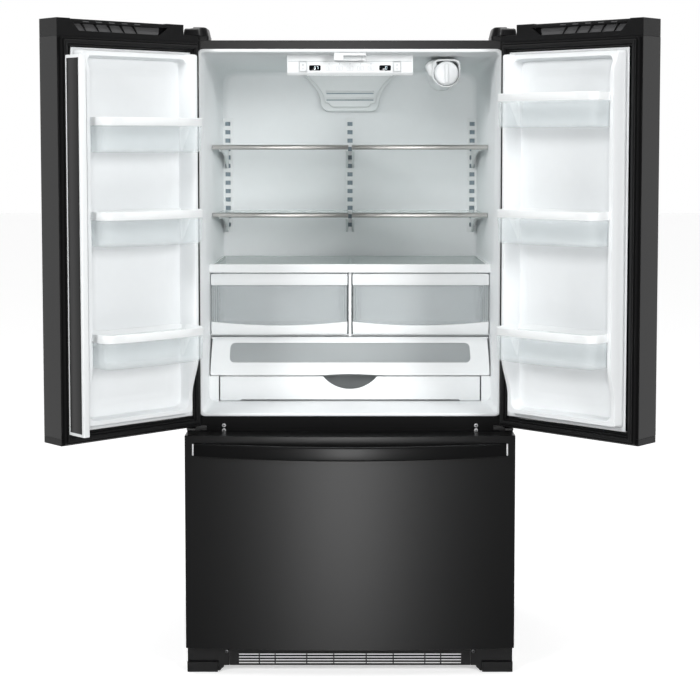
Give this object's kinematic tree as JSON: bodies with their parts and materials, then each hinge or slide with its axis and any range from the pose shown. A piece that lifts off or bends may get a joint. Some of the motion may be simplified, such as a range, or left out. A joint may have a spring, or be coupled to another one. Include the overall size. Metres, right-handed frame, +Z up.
{
  "type": "french door refrigerator",
  "caption": "French door refrigerator with two swinging fridge doors, a folding centre bar, glass shelves, crispers, pantry drawer and a pull-out freezer drawer.",
  "frame": {"origin": "floor level, on the centreline, midway between the cabinet's back and the front edge of the open doors' bins", "axes": "+X to the right as seen from the front, +Y to the back, +Z up"},
  "size_m": [1.5962, 1.1345, 1.781],
  "materials": {
    "black_steel": "satin black enamel",
    "galvanised": "grey zinc-coated sheet",
    "black_plastic": "textured black",
    "grey_plastic": "dark grey, fine texture",
    "white_liner": "smooth white",
    "white_trim": "smooth white",
    "clear_plastic": "clear",
    "shelf_glass": "clear tempered",
    "brushed_trim": "brushed",
    "zinc_steel": "zinc plated",
    "aluminium_fin": "bare",
    "foam": "foamed",
    "gasket_rubber": "soft black",
    "roller_plastic": "hard nylon",
    "compressor_paint": "gloss black"
  },
  "bodies": {
    "cabinet": {"cabinet_shell": "black_steel", "rear_panel": "galvanised", "machine_cover": "galvanised", "base_pan": "galvanised", "levelling_feet": "zinc_steel", "insulation": "foam", "fridge_liner": "white_liner", "freezer_liner": "white_liner", "front_rail": "black_steel", "base_grille": "black_plastic", "foot_covers": "black_plastic", "compressor": "compressor_paint", "condenser": "compressor_paint", "drain_pan": "black_plastic", "evaporator": "aluminium_fin", "evaporator_cover": "white_trim", "hinge_brackets": "black_steel", "hinge_covers": "grey_plastic", "control_panel": "white_trim", "mullion_guide": "white_trim", "air_tower": "white_trim", "filter_housing": "white_trim", "ladder_tracks": "white_trim", "shelf_brackets": "white_trim", "shelf_glass": "shelf_glass", "shelf_trims": "brushed_trim", "crisper_frame": "white_trim", "crisper_glass": "shelf_glass"},
    "front_roller_axle": {"front_rollers": "roller_plastic"},
    "rear_roller_axle": {"rear_rollers": "roller_plastic"},
    "condenser_fan_rotor": {"condenser_fan": "roller_plastic"},
    "evaporator_fan_rotor": {"evaporator_fan": "roller_plastic"},
    "left_key": {"temp_key_left": "white_trim"},
    "right_key": {"temp_key_right": "white_trim"},
    "filter": {"filter_cartridge": "white_trim"},
    "left_crisper": {"crisper_bin_left": "clear_plastic", "crisper_front_left": "white_trim"},
    "right_crisper": {"crisper_bin_right": "clear_plastic", "crisper_front_right": "white_trim"},
    "pantry": {"pantry_drawer": "white_trim"},
    "pantry_visor": {"pantry_lid": "white_trim"},
    "left_door": {"left_door_skin": "black_steel", "left_door_caps": "black_plastic", "left_door_liner": "white_liner", "left_door_gasket": "gasket_rubber", "left_door_handle": "black_steel", "left_door_bins": "clear_plastic"},
    "right_door": {"right_door_skin": "black_steel", "right_door_caps": "black_plastic", "right_door_liner": "white_liner", "right_door_gasket": "gasket_rubber", "right_door_handle": "black_steel", "right_door_bins": "clear_plastic"},
    "folding_bar": {"mullion_bar": "white_trim"},
    "freezer_drawer": {"drawer_skin": "black_steel", "drawer_liner": "white_liner", "drawer_gasket": "gasket_rubber", "drawer_handle": "black_steel", "drawer_basket": "white_trim"},
    "upper_freezer_basket": {"upper_basket": "white_trim"}
  },
  "joints": [
    {"name": "front_rollers_turn", "type": "hinge", "parent": "cabinet", "child": "front_roller_axle", "pos_m": [0, -0.064, 0.018], "axis": [1, 0, 0], "continuous": true},
    {"name": "rear_rollers_turn", "type": "hinge", "parent": "cabinet", "child": "rear_roller_axle", "pos_m": [0, 0.486, 0.018], "axis": [1, 0, 0], "continuous": true},
    {"name": "condenser_fan_turn", "type": "hinge", "parent": "cabinet", "child": "condenser_fan_rotor", "pos_m": [0.012, 0.428, 0.16], "axis": [1, 0, 0], "continuous": true},
    {"name": "evaporator_fan_turn", "type": "hinge", "parent": "cabinet", "child": "evaporator_fan_rotor", "pos_m": [0, 0.346, 0.572], "axis": [0, 1, 0], "continuous": true},
    {"name": "left_key_rock", "type": "hinge", "parent": "cabinet", "child": "left_key", "pos_m": [-0.13, -0.1055, 1.673], "axis": [1, 0, 0], "range_deg": [-3, 3], "stiffness_Nm_per_rad": 0.05},
    {"name": "right_key_rock", "type": "hinge", "parent": "cabinet", "child": "right_key", "pos_m": [0.13, -0.1055, 1.673], "axis": [1, 0, 0], "range_deg": [-3, 3], "stiffness_Nm_per_rad": 0.05},
    {"name": "filter_twist", "type": "hinge", "parent": "cabinet", "child": "filter", "pos_m": [0.268, -0.094, 1.656], "axis": [0, 1, 0], "range_deg": [0, 90]},
    {"name": "left_crisper_slide", "type": "slide", "parent": "cabinet", "child": "left_crisper", "axis": [0, -1, 0], "range_m": [0, 0.29]},
    {"name": "right_crisper_slide", "type": "slide", "parent": "cabinet", "child": "right_crisper", "axis": [0, -1, 0], "range_m": [0, 0.29]},
    {"name": "pantry_slide", "type": "slide", "parent": "cabinet", "child": "pantry", "axis": [0, -1, 0], "range_m": [0, 0.27]},
    {"name": "pantry_visor_lift", "type": "hinge", "parent": "cabinet", "child": "pantry_visor", "pos_m": [0, 0.041, 0.902], "axis": [-1, 0, 0], "range_deg": [0, 55]},
    {"name": "left_door_hinge", "type": "hinge", "parent": "cabinet", "child": "left_door", "pos_m": [-0.4375, -0.194, 1.2], "axis": [0, 0, -1], "range_deg": [-137, 0]},
    {"name": "right_door_hinge", "type": "hinge", "parent": "cabinet", "child": "right_door", "pos_m": [0.4375, -0.194, 1.2], "axis": [0, 0, 1], "range_deg": [-137, 0]},
    {"name": "folding_bar_hinge", "type": "hinge", "parent": "left_door", "child": "folding_bar", "pos_m": [-0.70513, -0.51331, 1.2], "axis": [0, 0, 1], "range_deg": [-90, 0]},
    {"name": "freezer_drawer_slide", "type": "slide", "parent": "cabinet", "child": "freezer_drawer", "axis": [0, -1, 0], "range_m": [0, 0.42]},
    {"name": "upper_basket_slide", "type": "slide", "parent": "cabinet", "child": "upper_freezer_basket", "axis": [0, -1, 0], "range_m": [0, 0.21]}
  ],
  "couplings": [
    {"joint": "folding_bar_hinge", "follows": "left_door_hinge", "ratio": 0.65693},
    {"joint": "upper_basket_slide", "follows": "freezer_drawer_slide", "ratio": 0.5}
  ]
}
